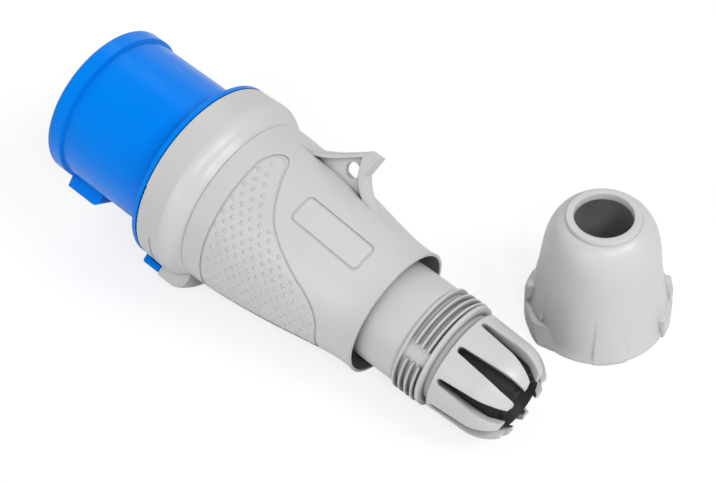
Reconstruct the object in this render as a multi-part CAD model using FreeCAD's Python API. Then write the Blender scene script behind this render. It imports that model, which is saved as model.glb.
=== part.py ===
import FreeCAD, Part
import math
import os
from FreeCAD import Vector

# Industrial pin and sleeve plug, two poles and earth, laid down with its gland nut taken off.
# Lengths are millimetres. Each plug piece is drawn about its own axis first: x runs from the
# mouth of the sleeve to the gland, and angles are counted from the earth pin (6 o'clock),
# positive towards -Y. The whole plug is then rolled onto its lug, tilted and stood on z = 0.

# Sleeve and flange of the blue front part
sleeve_r = 22.0            # outside of the sleeve
sleeve_wall = 2.6
sleeve_len = 36.9          # mouth to flange
rim_height = 1.0           # how far the mouth's rim stands above the sleeve
rim_w = 5.1
flange_t = 1.6
edge_soft = 0.5            # small rounding of moulded edges
key_w = 8.0                # keying bar under the sleeve
key_height = 5.2
key_front = 1.5            # set back from the mouth
key_len = 11.9
key_round = 2.2            # rounding of the key's rear corner
key_nose = 0.7             # rounding of its front corner
tab_gap = 0.6              # latch tab over the collar
tab_t = 2.0

# Bayonet between the front part and the handle
spigot_r = 22.6
spigot_wall = 2.0
spigot_len = 11.6          # behind the flange
run_gap = 0.3              # running clearance between the turning part and the handle
bayonet_lug_h = 1.7
bayonet_lug_len = 2.6
bayonet_lug_span = 30.0    # degrees
bayonet_count = 3
bayonet_first = 20.0       # degrees, middle of the first lug
twist = 25.0               # degrees from locked to free
rib_front = 2.4            # handle's inner rib, behind the collar's front edge
rib_len = 3.2
stop_span = 8.0            # degrees
gasket_t = 1.5
gasket_w = 1.6
entry_play = 4.0           # degrees, entries wider than the lugs
stop_play = 1.0            # degrees, between a lug and its stop

# Handle, outside
collar_wall = 2.7          # wall outside the bayonet's bore
collar_flare = 0.3
collar_len = 9.6
shoulder_len = 4.9
crease_depth = 0.4
crease_w = 0.3
shoulder_round = 1.5       # band's edge before the shoulder
shoulder_mid_drop = 0.9    # shoulder's line below the band
shoulder_low_drop = 2.2
body_drop = 2.7            # from the collar to the body behind the crease
body_len = 53.9            # crease to the skirt's edge
waist_r = 18.45
skirt_flare = 0.25
skirt_lip = 0.8
skirt_depth = 7.5
skirt_wall = 2.0           # at the bottom of the skirt's recess
wall = 2.5
neck_r = 14.6
neck_len = 10.4            # skirt's edge to the thread
thread_len = 9.6
thread_height = 1.4
thread_depth = 0.6         # thread root below the neck
thread_pitch = 1.95
thread_lead = 1.25         # first ring's crest behind the thread's start
thread_first = 1.4         # the same for the thread's own count
thread_gaps = 4            # pitches from the first ring to the last
thread_flat = 18.0         # degrees left bare at each parting line
thread_turn = 3.5          # degrees, parting line from 3 o'clock
ridge_foot = 0.5           # half the width of a ridge at its foot
ridge_crest = 0.28         # and at its crest
last_ring_w = 1.5
last_ring_drop = 0.2       # below the other crests

# Lug under the handle and the slit mark on the collar
lug_height = 3.39          # above the collar's band
lug_half_angle = 13.5      # degrees
lug_angle = 4.5            # degrees, middle of the lug
lug_front = 4.2            # behind the collar's front edge
lug_flat = 6.0
lug_run = 3.0              # rounded rear end
slit_at = 5.1
slit_w = 0.5
slit_depth = 0.3
slit_from = 35.0           # degrees
slit_to = 59.0

# Hook at 12 o'clock
hook_w = 4.2
hook_start = 8.5           # behind the crease
hook_rise = ((3.0, 0.4), (7.3, 2.5), (13.2, 6.6))       # behind the start, above the body
hook_tip_x = 26.8          # front of the tip block, behind the crease
hook_tip_len = 3.8
hook_r = 32.9              # top of the hook, from the axis
hook_strip = 1.4
hook_tip_deep = 5.9
hook_tip_lean = 1.4        # the block's rear face leans forward
hook_foot_x = 35.2
hook_strut = 1.9
hook_strut_bow = 0.9       # the strut bends towards the web
hook_web = 1.7
hook_hole_r = 2.2
sunk = 1.0                 # how deep added pieces are sunk in the wall

# Thumb pads and name plate, as shallow grooves
groove_w = 0.5
groove_depth = 0.22
pad_lobe = ((6.3, 17.6), (8.6, 21.8), (13.4, 20.0))     # behind the crease, above the axis
pad_rear = ((16.6, 15.4), (20.1, 10.5), (26.3, 5.3), (33.7, 0.7), (40.4, -4.0), (42.8, -9.0))
pad_under = (-21.5, -16.7)  # lower edge, front and rear
plate_len = 22.0
plate_w = 8.6
plate_at = 22.8
plate_angle = 134.5        # degrees
plate_round = 1.6

# Contacts and what holds them
pin_circle_r = 11.0
pin_r = 2.5                # line and neutral
earth_r = 3.5
pin_recess = 2.0           # pin tips behind the mouth
pin_shoulder = 1.5         # barrel radius over the pin radius
pin_collar = 0.6           # collar in the carrier over the pin radius
pin_tip = 0.8              # rounding of the tip, as a share of the pin radius
barrel_set = 2.0           # barrels start before the spigot's end
barrel_len = 14.0
wire_hole_r = 2.1
wire_hole_deep = 10.0
carrier_face = 0.8         # contact face behind the flange's front
carrier_front_len = 4.6
carrier_step = 1.1
carrier_step_len = 5.2
tower_r = 17.2
socket_gap = 0.05          # gap round pieces pushed into each other
terminal_screw_r = 2.0
terminal_head_r = 2.9
terminal_head_t = 2.0
terminal_screw_at = 7.0    # behind the barrel's front
screw_slot_w = 1.0
screw_slot_deep = 1.1
leaf_t = 0.4
leaf_w = 2.6
leaf_lift = 0.95           # outer side of the leaf above the wire hole's middle
leaf_front = 1.0           # behind the wire hole's end
leaf_hem = 0.3             # below the barrel's skin
retainer_t = 2.4
retainer_wire_r = 2.6
retainer_screw_r = 1.5
retainer_head_r = 2.9
retainer_head_t = 1.8
retainer_screw_len = 9.0
retainer_screw_end = 0.5   # hole left below the screw's tip
cross_w = 0.9
cross_len = 3.2
cross_deep = 1.0

# Cable clamp in the neck
cage_r = 14.4              # foot of the fingers
cage_gap = 2.0             # bare spigot between the thread's end and the fingers
cage_spigot_r = 13.0
cage_spigot_len = 12.0
spigot_thick = 1.2
cage_wall = 2.4
finger_len = 19.6
finger_count = 9
finger_mid = 0.5           # share of the length where the taper grows
finger_mid_drop = 0.4
finger_bend = 0.81         # share of the length where the tips turn in
finger_bend_drop = 1.55
finger_tip_r = 10.0
slot_from = 1.2            # behind the fingers' foot
slot_w = 1.9
slot_tip_w = 4.3
slot_phase = 3.6           # degrees
seal_gap = 0.1
seal_inset = 2.0           # seal's end inside the finger tips
seal_back = 11.0           # seal's start before the fingers' foot
seal_ring_r = 8.3
ring_proud = 1.2           # inner ring beyond the outer one
ring_lead = 3.0            # flared lead-in for the cable
ring_lead_r = 1.4
ring_edge = 1.0
cable_r = 5.6

# Gland nut, standing on its wide end
nut_h = 37.9
nut_line = ((0.0, 19.9), (9.0, 18.1), (18.0, 16.6), (26.0, 15.5), (32.0, 14.8))         # height, radius
nut_dome_edge = 1.6        # the dome's shoulder, in and down
nut_ring_r = 9.9
nut_ring_h = 1.2
nut_ring_round = 0.5
nut_ring_step = 0.6        # flat top of the dome round the ring
nut_hole_r = 7.8
nut_hole_len = 2.2
nut_wall = 3.4
nut_thread_gap = 0.4
nut_thread_deep = 13.0
nut_rim_out = 1.1          # flared rim round the foot
nut_rim_h = 0.6
nut_rim_run = 2.8
nut_proud = 0.9            # raised pads at the foot, flush at their top
nut_pad = ((0.3, 14.6), (16.0, 13.1), (19.0, 12.9))     # height, half angle
nut_grip = ((0.3, 32.0), (5.4, 29.0), (11.0, 23.5), (15.0, 20.0), (19.0, 14.0))
nut_grip_angle = 5.4       # degrees, middle of the wide pads
nut_wing_h = 6.2
nut_wing = ((-34.4, 21.9), (-23.4, 20.9), (-15.4, 19.9), (14.6, 19.9), (34.0, 19.4))     # angle, radius
nut_wing_reach = 47.0      # degrees, to where the wing's sloping end dies out
nut_wing_end = ((6.2, 20.2, -29.4), (0.0, 21.9, -34.4), (3.7, 19.2, -44.9))      # height, radius, angle
nut_turn = 45.5            # degrees, pads turned from straight behind the plug
nut_back = 9.15            # nut's axis before the finger tips
nut_beside = 11.05         # free floor between the fingers and the nut's rim

# Stations along the axis
flange_back = sleeve_len + flange_t
collar_front = flange_back + 0.1
band_end = collar_front + collar_len
crease = band_end + shoulder_len
skirt_end = crease + body_len
thread_start = skirt_end + neck_len
thread_end = thread_start + thread_len
finger_foot = thread_end + cage_gap
finger_tip = finger_foot + finger_len

# Radii that follow from the sizes above
bore_r = spigot_r + bayonet_lug_h + run_gap
collar_r = bore_r + collar_wall
body_r = collar_r - body_drop
band_r = collar_r + collar_flare
lug_r = collar_r + lug_height
tab_in_r = band_r + tab_gap
flange_r = collar_r
rib_r = spigot_r + run_gap
socket_r = sleeve_r - sleeve_wall
spigot_in_r = spigot_r - spigot_wall
thread_root_r = neck_r - thread_depth
thread_r = thread_root_r + thread_height
finger_mid_r = cage_r - finger_mid_drop
finger_bend_r = cage_r - finger_bend_drop
cage_bore_r = cage_spigot_r + socket_gap
neck_bore_r = cage_spigot_r - cage_wall / 2
skirt_r = waist_r + skirt_flare
earth_barrel_r = earth_r + pin_shoulder
pin_barrel_r = pin_r + pin_shoulder
barrel_front = flange_back + spigot_len - barrel_set
barrel_back = barrel_front + barrel_len

# Names, angle from 6 o'clock, pin radius and barrel radius of the three contacts
CONTACTS = (
    ("earth", 0.0, earth_r, earth_barrel_r),
    ("line", 120.0, pin_r, pin_barrel_r),
    ("neutral", -120.0, pin_r, pin_barrel_r),
)

# The body's outer line: share of its length, share of its bulge over the waist
BODY_SHAPE = ((0.0, 1.0), (0.18, 0.92), (0.38, 0.73), (0.57, 0.48), (0.72, 0.24), (0.83, 0.08), (0.93, 0.0))

over = 1.0                 # how far cutting tools reach past what they cut

AXIS = Vector(-1, 0, 0)
ORIGIN = Vector(0, 0, 0)
ROUND = 1 - math.sqrt(0.5)    # how far an arc's middle is from the corner that it rounds


def at(x, r):
    """A point of a section drawn at 6 o'clock."""
    return Vector(x, 0, -r)


def edges_of(items):
    """Edges of a section: plain points, ('arc', through, end) or ('curve', points)."""
    edges = []
    here = at(*items[0])
    for item in items[1:]:
        if item[0] == "arc":
            through, end = at(*item[1]), at(*item[2])
            edges.append(Part.Arc(here, through, end).toShape())
        elif item[0] == "curve":
            points = [here] + [at(*p) for p in item[1]]
            curve = Part.BSplineCurve()
            curve.interpolate(points)
            edges.append(curve.toShape())
            end = points[-1]
        else:
            end = at(*item)
            edges.append(Part.LineSegment(here, end).toShape())
        here = end
    start = at(*items[0])
    if here.distanceToPoint(start) > 1e-6:
        edges.append(Part.LineSegment(here, start).toShape())
    return edges


def turned(items, first=None, span=360.0):
    """A section turned about the plug's axis, all the way or from one angle over a span."""
    face = Part.Face(Part.Wire(edges_of(items)))
    if first is not None:
        face.rotate(ORIGIN, AXIS, first)
    return face.revolve(ORIGIN, AXIS, span)


def sector(x0, x1, r0, r1, middle, span):
    """Part of a ring between two stations and two radii, about one angle."""
    return turned([(x0, r0), (x1, r0), (x1, r1), (x0, r1)], middle - span / 2, span)


def swung(shape, angle):
    """A copy of a shape turned about the plug's axis."""
    copy = shape.copy()
    copy.rotate(ORIGIN, AXIS, angle)
    return copy


def rod(x0, x1, r, off=0.0):
    """A round bar along the axis, at a distance towards 6 o'clock."""
    return Part.makeCylinder(r, x1 - x0, Vector(x0, 0, -off), Vector(1, 0, 0))


def block(x0, x1, y0, y1, z0, z1):
    return Part.makeBox(x1 - x0, y1 - y0, z1 - z0, Vector(x0, y0, z0))


def one_solid(shape):
    """The single solid that a cut or a union leaves."""
    return shape.removeSplitter().Solids[0]


def body_curve(inset=0.0):
    """Outer line of the handle's main body, crease to skirt, or a line inside it."""
    points = [(crease + t * body_len, waist_r + (body_r - waist_r) * b - inset) for t, b in BODY_SHAPE]
    return points + [(skirt_end, skirt_r - inset)]


def radius_on(points, x):
    """Radius of a line of points at a station, read between its points."""
    for (xa, ra), (xb, rb) in zip(points, points[1:]):
        if x <= xb:
            return ra + (rb - ra) * (x - xa) / (xb - xa)
    return points[-1][1]


def body_radius(x):
    return radius_on(body_curve(), x)


def flat_points(items):
    """Points of a polygon across the axis, from pairs of angle and radius."""
    return [Vector(0, -r * math.sin(math.radians(a)), -r * math.cos(math.radians(a))) for a, r in items]


def swept(section, width):
    """A section drawn at 6 o'clock, made into a plate of some width."""
    face = Part.Face(Part.Wire(edges_of(section)))
    face.translate(Vector(0, -width / 2, 0))
    return face.extrude(Vector(0, width, 0))


def make_shroud():
    """Blue front part: sleeve, rim, key, flange, latch tab and bayonet spigot in one moulding."""
    rim_r = sleeve_r + rim_height
    step_x = sleeve_len + carrier_face + carrier_front_len
    spigot_end = flange_back + spigot_len
    shell = turned([
        (0, socket_r + edge_soft), (0, rim_r - edge_soft),
        ("arc", (edge_soft * ROUND, rim_r - edge_soft * ROUND), (edge_soft, rim_r)),
        (rim_w - edge_soft, rim_r), (rim_w, sleeve_r),
        (sleeve_len, sleeve_r), (sleeve_len, flange_r - edge_soft),
        ("arc", (sleeve_len + edge_soft * ROUND, flange_r - edge_soft * ROUND), (sleeve_len + edge_soft, flange_r)),
        (flange_back, flange_r), (flange_back, spigot_r),
        (spigot_end, spigot_r), (spigot_end, spigot_in_r),
        (step_x, spigot_in_r), (step_x, socket_r),
        (edge_soft, socket_r),
    ])
    key_top = sleeve_r + key_height
    key_back = key_front + key_len
    bar = block(key_front, key_back, -key_w / 2, key_w / 2, -key_top, -sleeve_r + sleeve_wall / 2)
    across = [e for e in bar.Edges if e.BoundBox.YLength > key_w / 2 and e.CenterOfMass.z < -sleeve_r]
    bar = bar.makeFillet(key_round, [e for e in across if e.CenterOfMass.x > key_back - run_gap])
    tab_end = collar_front + lug_front - run_gap
    tab_r = tab_in_r + tab_t
    tab = turned([
        (sleeve_len, flange_r - rim_height), (sleeve_len, tab_r - edge_soft), (sleeve_len + edge_soft, tab_r),
        (tab_end, tab_r), (tab_end, tab_in_r), (flange_back, tab_in_r), (flange_back, flange_r - rim_height),
    ], lug_angle - lug_half_angle, 2 * lug_half_angle)
    solid = shell.fuse([bar, tab])
    lug_x = collar_front + rib_front + rib_len + run_gap
    for k in range(bayonet_count):
        middle = bayonet_first + k * 360.0 / bayonet_count
        lug = sector(lug_x, lug_x + bayonet_lug_len, spigot_in_r, spigot_r + bayonet_lug_h, middle, bayonet_lug_span)
        solid = solid.fuse(lug)
    return one_solid(solid)


def make_gasket():
    """Rubber ring that lies on the spigot, against the back of the flange."""
    return turned([
        (flange_back, spigot_r), (flange_back, spigot_r + gasket_w),
        (flange_back + gasket_t, spigot_r + gasket_w), (flange_back + gasket_t, spigot_r),
    ])


def make_carrier():
    """Insulating contact carrier, pushed into the sleeve from behind."""
    face_x = sleeve_len + carrier_face
    step_x = face_x + carrier_front_len
    solid = turned([
        (face_x, 0), (face_x, socket_r - socket_gap), (step_x, socket_r - socket_gap),
        (step_x, spigot_in_r - socket_gap), (step_x + carrier_step_len, spigot_in_r - socket_gap),
        (step_x + carrier_step_len, tower_r), (barrel_back, tower_r), (barrel_back, 0),
    ])
    screw_x = barrel_front + terminal_screw_at
    for name, angle, r, barrel_r in CONTACTS:
        hole = rod(face_x - over, barrel_front + over, r + pin_collar + socket_gap, pin_circle_r)
        chamber = rod(barrel_front, barrel_back + over, barrel_r + socket_gap, pin_circle_r)
        half = terminal_head_r + run_gap
        access = block(screw_x - half, screw_x + half, -half, half, -tower_r - over, -pin_circle_r)
        for tool in (hole, chamber, access):
            solid = solid.cut(swung(tool, angle))
    pilot = rod(barrel_back - retainer_screw_len, barrel_back + over, retainer_screw_r)
    return one_solid(solid.cut(pilot))


def make_contact(angle, r, barrel_r):
    """Turned brass pin with its terminal barrel, wire hole and tapped screw hole."""
    tip_round = r * pin_tip
    collar_x = sleeve_len + carrier_face
    profile = [
        (pin_recess, 0), (pin_recess, r - tip_round),
        ("arc", (pin_recess + tip_round * ROUND, r - tip_round * ROUND), (pin_recess + tip_round, r)),
        (collar_x, r), (collar_x, r + pin_collar), (barrel_front, r + pin_collar),
        (barrel_front, barrel_r), (barrel_back, barrel_r), (barrel_back, 0),
    ]
    solid = turned(profile)
    solid.translate(Vector(0, 0, -pin_circle_r))
    wire_hole = rod(barrel_back - wire_hole_deep, barrel_back + over, wire_hole_r, pin_circle_r)
    screw_x = barrel_front + terminal_screw_at
    middle = Vector(screw_x, 0, -pin_circle_r)
    tapped = Part.makeCylinder(terminal_screw_r, barrel_r + over, middle, Vector(0, 0, -1))
    return swung(one_solid(solid.cut([wire_hole, tapped])), angle)


def make_terminal_screw(angle, barrel_r):
    """Slotted terminal screw, from its head down to the wire leaf."""
    screw_x = barrel_front + terminal_screw_at
    seat = pin_circle_r + barrel_r
    tip = pin_circle_r + leaf_lift
    shank = Part.makeCylinder(terminal_screw_r, seat - tip, Vector(screw_x, 0, -tip), Vector(0, 0, -1))
    head = Part.makeCylinder(terminal_head_r, terminal_head_t, Vector(screw_x, 0, -seat), Vector(0, 0, -1))
    top = seat + terminal_head_t
    reach = terminal_head_r + over
    half = screw_slot_w / 2
    driver = block(screw_x - reach, screw_x + reach, -half, half, -top - over, -top + screw_slot_deep)
    return swung(one_solid(shank.fuse(head).cut(driver)), angle)


def make_wire_leaf(angle, barrel_r):
    """Bent strip that lies under the screw's tip and keeps it off the strands."""
    x0 = barrel_back - wire_hole_deep + leaf_front
    x1 = barrel_back + leaf_t
    outer = pin_circle_r + leaf_lift
    inner = outer - leaf_t
    hem_end = pin_circle_r + barrel_r - leaf_hem
    strip = block(x0, x1, -leaf_w / 2, leaf_w / 2, -outer, -inner)
    hem = block(barrel_back, x1, -leaf_w / 2, leaf_w / 2, -hem_end, -inner)
    return swung(one_solid(strip.fuse(hem)), angle)


def make_retainer():
    """Plate that closes the contact chambers, with a wire hole behind each contact."""
    x0 = barrel_back + leaf_t
    solid = rod(x0, x0 + retainer_t, tower_r).fuse(rod(barrel_back, x0, pin_circle_r - earth_barrel_r))
    for name, angle, r, barrel_r in CONTACTS:
        wire_way = rod(barrel_back, x0 + retainer_t + over, retainer_wire_r, pin_circle_r)
        solid = solid.cut(swung(wire_way, angle))
    solid = solid.cut(rod(barrel_back - over, x0 + retainer_t + over, retainer_screw_r + socket_gap))
    return one_solid(solid)


def make_retainer_screw():
    """Pan-head screw through the middle of the retainer into the carrier."""
    seat = barrel_back + leaf_t + retainer_t
    tip = barrel_back - retainer_screw_len + retainer_screw_end
    shank = rod(tip, seat, retainer_screw_r)
    rim = seat + retainer_head_t / 2
    top = seat + retainer_head_t
    head = turned([
        (seat, 0), (seat, retainer_head_r), (rim, retainer_head_r),
        ("arc", (top - retainer_head_t / 8, retainer_head_r * 0.7), (top, 0)),
    ])
    arm, long = cross_w / 2, cross_len / 2
    cross = block(top - cross_deep, top + over, -arm, arm, -long, long)
    cross = cross.fuse(block(top - cross_deep, top + over, -long, long, -arm, arm))
    return one_solid(shank.fuse(head).cut(cross))


def make_hook():
    """Hanging hook on the handle: curved strip, tip block, strut and a thin web with a hole."""
    start = crease + hook_start
    tip_x = crease + hook_tip_x
    tip_back = tip_x + hook_tip_len
    lean_x = tip_back - hook_tip_lean
    foot = crease + hook_foot_x
    block_low = hook_r - hook_tip_deep
    strut_low = hook_r - hook_tip_deep - hook_strut / 3
    top = [(start + x, body_radius(start + x) + rise) for x, rise in hook_rise] + [(tip_x, hook_r)]
    under = [(x, r - hook_strip) for x, r in reversed(top[1:])]
    strip = [
        (start, body_radius(start) - sunk), (start, body_radius(start)), ("curve", top),
        under[0], ("curve", under[1:] + [(start + hook_strip, body_radius(start) - sunk)]),
    ]
    tip = [
        (tip_x, hook_r), (tip_back, hook_r), (lean_x, block_low), (lean_x - hook_strut, strut_low),
        (tip_x - hook_strip / 2, hook_r - hook_strip),
    ]
    foot_r, foot_in = body_radius(foot), body_radius(foot) - sunk
    front_foot = foot - hook_strut * 1.4
    middle_r = (block_low + foot_r) / 2
    strut = [
        (lean_x, block_low), ("arc", ((lean_x + foot) / 2 - hook_strut_bow, middle_r), (foot, foot_r)),
        (foot, foot_in), (front_foot, foot_in), (front_foot, foot_r),
        ("arc", ((lean_x - hook_strut + front_foot) / 2 - hook_strut_bow, middle_r), (lean_x - hook_strut, strut_low)),
    ]
    web = [(start + sunk, body_radius(start) - sunk)] + [(x, r - hook_strip / 2) for x, r in top[1:3]] + [
        (tip_x, hook_r - hook_strip), (lean_x - hook_strut / 2, block_low),
        ((lean_x + foot) / 2 - 2 * hook_strut_bow, middle_r), (foot - hook_strut, foot_in),
    ]
    solid = swept(strip, hook_w).fuse([swept(tip, hook_w), swept(strut, hook_w), swept(web, hook_web)])
    hole_x = (top[2][0] + tip_x) / 2 + hook_strip / 2
    hole_r = (body_radius(hole_x) + hook_r - hook_strip) / 2 - hook_strip / 2
    hole = Part.makeCylinder(hook_hole_r, 2 * hook_w, Vector(hole_x, -hook_w, -hole_r), Vector(0, 1, 0))
    return swung(solid.cut(hole), 180.0)


def make_lug():
    """Half-round lug under the collar, behind the latch tab."""
    x0 = collar_front + lug_front
    x1 = x0 + lug_flat
    x2 = x1 + lug_run
    deep = lug_height + collar_flare
    low = band_r - wall - sunk
    return turned([
        (x0, band_r - sunk), (x0, lug_r - edge_soft), (x0 + edge_soft, lug_r), (x1, lug_r),
        ("arc", (x1 + lug_run * 0.7, lug_r - deep * ROUND), (x2, lug_r - deep)), (x2, low),
        (x0 + wall, band_r - sunk),
    ], lug_angle - lug_half_angle, 2 * lug_half_angle)


def make_thread():
    """Half turns of thread between the two full rings, leaving two bare strips."""
    low = thread_root_r - sunk / 2
    wide = ridge_foot + (ridge_foot - ridge_crest) * sunk / 2 / thread_height
    lean = math.degrees(math.asin(thread_pitch / 4 / thread_r))
    span = 180.0 - thread_flat
    halves = []
    for k in range(1, thread_gaps):
        for middle, way in ((180.0, 1), (0.0, -1)):
            x = thread_start + thread_first + k * thread_pitch + way * thread_pitch / 4
            section = [(x - wide, low), (x - ridge_crest, thread_r), (x + ridge_crest, thread_r), (x + wide, low)]
            half = turned(section, middle - span / 2, span)
            half.rotate(Vector(x, 0, 0), Vector(0, 0, 1), -way * lean)
            halves.append(swung(half, thread_turn))
    return halves


def moved_in(points, inset):
    """Points of a closed outline, drawn clockwise, each moved in from the two sides beside it."""
    moved = []
    for k, here in enumerate(points):
        before = (here - points[k - 1]).normalize()
        after = (points[(k + 1) % len(points)] - here).normalize()
        inward = Vector(before.z + after.z, 0, -before.x - after.x)
        moved.append(here + inward * (2 * inset / inward.dot(inward)))
    return moved


def pad_outline(inset):
    """Leaf-shaped outline of a thumb pad, seen from the side, or the same drawn smaller."""
    drawn = pad_lobe + pad_rear + ((pad_rear[-1][0], pad_under[1]), (pad_lobe[0][0], pad_under[0]))
    points = moved_in([Vector(crease + x, 0, z) for x, z in drawn], inset)
    lobe, rear = points[:3], points[2:-2]
    curve = Part.BSplineCurve()
    curve.interpolate(rear)
    return Part.Wire([
        Part.Arc(*lobe).toShape(), curve.toShape(), Part.LineSegment(rear[-1], points[-2]).toShape(),
        Part.LineSegment(points[-2], points[-1]).toShape(), Part.LineSegment(points[-1], lobe[0]).toShape(),
    ])


def groove_layer():
    """Thin layer just under the body's surface, in which the grooves are cut."""
    outer = body_curve(-edge_soft)
    inner = body_curve(groove_depth)
    rest = [("curve", outer[1:]), inner[-1], ("curve", list(reversed(inner))[1:])]
    return turned([outer[0]] + rest)


def make_grooves():
    """Grooves round both thumb pads and round the name plate's place."""
    layer = groove_layer()
    band = Part.Face(pad_outline(0)).cut(Part.Face(pad_outline(groove_w)))
    grooves = [layer.common(band.extrude(Vector(0, side * 2 * body_r, 0))) for side in (1, -1)]
    frames = []
    for shrink in (0.0, groove_w):
        plate = block(crease + plate_at + shrink, crease + plate_at + plate_len - shrink,
                      -plate_w / 2 + shrink, plate_w / 2 - shrink, -2 * body_r, -waist_r / 2)
        uprights = [e for e in plate.Edges if e.BoundBox.ZLength > body_r]
        frames.append(plate.makeFillet(plate_round - shrink, uprights))
    plate = swung(frames[0].cut(frames[1]), plate_angle)
    return grooves + [layer.common(plate)]


def make_handle():
    """Grey handle: collar, body, skirt, neck and thread, hollow, with hook and lug."""
    web_x = skirt_end - skirt_depth
    cavity = [p for p in body_curve(wall) if p[0] < web_x - 2 * wall]
    rib_x = collar_front + rib_front
    rib_end = rib_x + rib_len
    seat_x = finger_foot - cage_gap - cage_spigot_len
    shoulder_x = crease - shoulder_len
    crease_r = body_r - crease_depth
    first = thread_start + thread_lead
    last_r = thread_r - last_ring_drop
    last = thread_end - last_ring_w
    slope = ridge_foot - ridge_crest
    section = [
        (collar_front, bore_r), (collar_front, collar_r - edge_soft),
        ("arc", (collar_front + edge_soft * ROUND, collar_r - edge_soft * ROUND), (collar_front + edge_soft, collar_r)),
        (band_end - shoulder_round, band_r),
        ("arc", (shoulder_x + shoulder_len * 0.2, band_r - shoulder_mid_drop),
         (shoulder_x + shoulder_len / 2, band_r - shoulder_low_drop)),
        (crease - crease_w, crease_r), (crease, crease_r), (crease, body_r),
        ("curve", body_curve()[1:]),
        (skirt_end, skirt_r - skirt_lip), (web_x, body_radius(web_x) - skirt_wall), (web_x, neck_r),
        (thread_start, neck_r), (first - ridge_crest, thread_r), (first + ridge_crest, thread_r),
        (first + ridge_foot, thread_root_r), (last, thread_root_r), (last + slope, last_r),
        (thread_end - slope, last_r), (thread_end, thread_root_r), (thread_end, cage_bore_r), (seat_x, cage_bore_r), (seat_x, neck_bore_r), (web_x - wall, neck_bore_r),
        ("curve", list(reversed(cavity))),
        (band_end + shoulder_round, bore_r), (rib_end, bore_r), (rib_end, rib_r), (rib_x, rib_r), (rib_x, bore_r),
    ]
    solid = turned(section)
    stops = []
    for k in range(bayonet_count):
        middle = bayonet_first + k * 360.0 / bayonet_count
        entry = sector(rib_x - over, rib_end + socket_gap, rib_r - over, bore_r, middle + twist,
                       bayonet_lug_span + entry_play)
        solid = solid.cut(entry)
        reach = (bayonet_lug_span + stop_span) / 2 + stop_play
        for place in (middle - reach, middle + twist + reach):
            stops.append(sector(rib_end, rib_end + bayonet_lug_len, rib_r, bore_r + sunk / 2, place, stop_span))
    solid = solid.fuse([make_hook(), make_lug()] + stops)
    solid = solid.fuse(make_thread())
    slit_x = collar_front + slit_at
    slit = sector(slit_x, slit_x + slit_w, band_r - slit_depth, band_r + over,
                  (slit_from + slit_to) / 2, slit_to - slit_from)
    return one_solid(solid.cut(make_grooves() + [slit]))


def finger_line(inset):
    """Line of the clamp fingers from foot to tip, or a line inside it."""
    return [
        (finger_foot, cage_r - inset), (finger_foot + finger_len * finger_mid, finger_mid_r - inset),
        (finger_foot + finger_len * finger_bend, finger_bend_r - inset), (finger_tip, finger_tip_r - inset),
    ]


def make_cage():
    """Cable clamp: a ring of tapering fingers on a spigot that sits in the neck."""
    seat_x = finger_foot - cage_gap - cage_spigot_len
    outer = finger_line(0.0)
    inner = finger_line(cage_wall)
    solid = turned([
        (seat_x, cage_spigot_r - spigot_thick), (seat_x, cage_spigot_r), (finger_foot, cage_spigot_r), outer[0],
        outer[1], ("curve", outer[2:]), inner[3], inner[2], inner[1], inner[0],
        (finger_foot, cage_spigot_r - spigot_thick),
    ])
    slot_base = finger_foot + slot_from + slot_w / 2
    wide_x = outer[2][0]
    half, tip_half = slot_w / 2, slot_tip_w / 2
    for k in range(finger_count):
        outline = Part.makePolygon([
            Vector(slot_base, -half, 0), Vector(wide_x, -tip_half, 0), Vector(finger_tip + over, -tip_half, 0),
            Vector(finger_tip + over, tip_half, 0), Vector(wide_x, tip_half, 0), Vector(slot_base, half, 0),
            Vector(slot_base, -half, 0),
        ])
        slot = Part.Face(outline).extrude(Vector(0, 0, -2 * cage_r))
        end = Part.makeCylinder(half, 2 * cage_r, Vector(slot_base, 0, 0), Vector(0, 0, -1))
        solid = solid.cut(swung(slot.fuse(end), slot_phase + k * 360.0 / finger_count))
    return one_solid(solid)


def make_seal_outer():
    """Outer rubber ring between the fingers and the inner ring."""
    line = finger_line(cage_wall + seal_gap)
    start = finger_foot - seal_back
    end = finger_tip - seal_inset
    spigot_in = cage_spigot_r - spigot_thick - seal_gap
    return turned([
        (start, seal_ring_r), (start, spigot_in), (finger_foot + seal_gap, spigot_in),
        (finger_foot + seal_gap, line[0][1]), line[1], line[2],
        (end, radius_on(line, end)), (end, seal_ring_r),
    ])


def make_seal_inner():
    """Inner rubber ring, pulled out for a thicker cable."""
    start = finger_foot - seal_back
    end = finger_tip - seal_inset + ring_proud
    outer = seal_ring_r - socket_gap
    return turned([
        (start, cable_r + ring_edge), (start, outer), (end - 2 * ring_edge, outer), (end, outer - ring_edge),
        (end, cable_r + ring_lead_r), (end - ring_lead, cable_r), (start + 2 * ring_edge, cable_r),
    ])


def nut_radius(height):
    return radius_on(nut_line, height)


def nut_wedge(outline, middle):
    """Raised pad on the nut, proudest at the foot, from pairs of height and half angle."""
    (foot, wide), (top, narrow) = outline[0], outline[-1]
    right = [Vector(h, nut_radius(h) * math.sin(math.radians(a)), 0) for h, a in outline]
    left = [Vector(v.x, -v.y, 0) for v in reversed(right)]
    prism = Part.Face(Part.makePolygon(right + left + right[:1])).extrude(Vector(0, 0, -2 * nut_radius(0)))
    skin = turned([
        (foot, nut_radius(foot) - sunk), (foot, nut_radius(foot) + nut_proud), (top, nut_radius(top) + socket_gap),
        (top, nut_radius(top) - sunk),
    ])
    return swung(skin.common(prism), middle)


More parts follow.
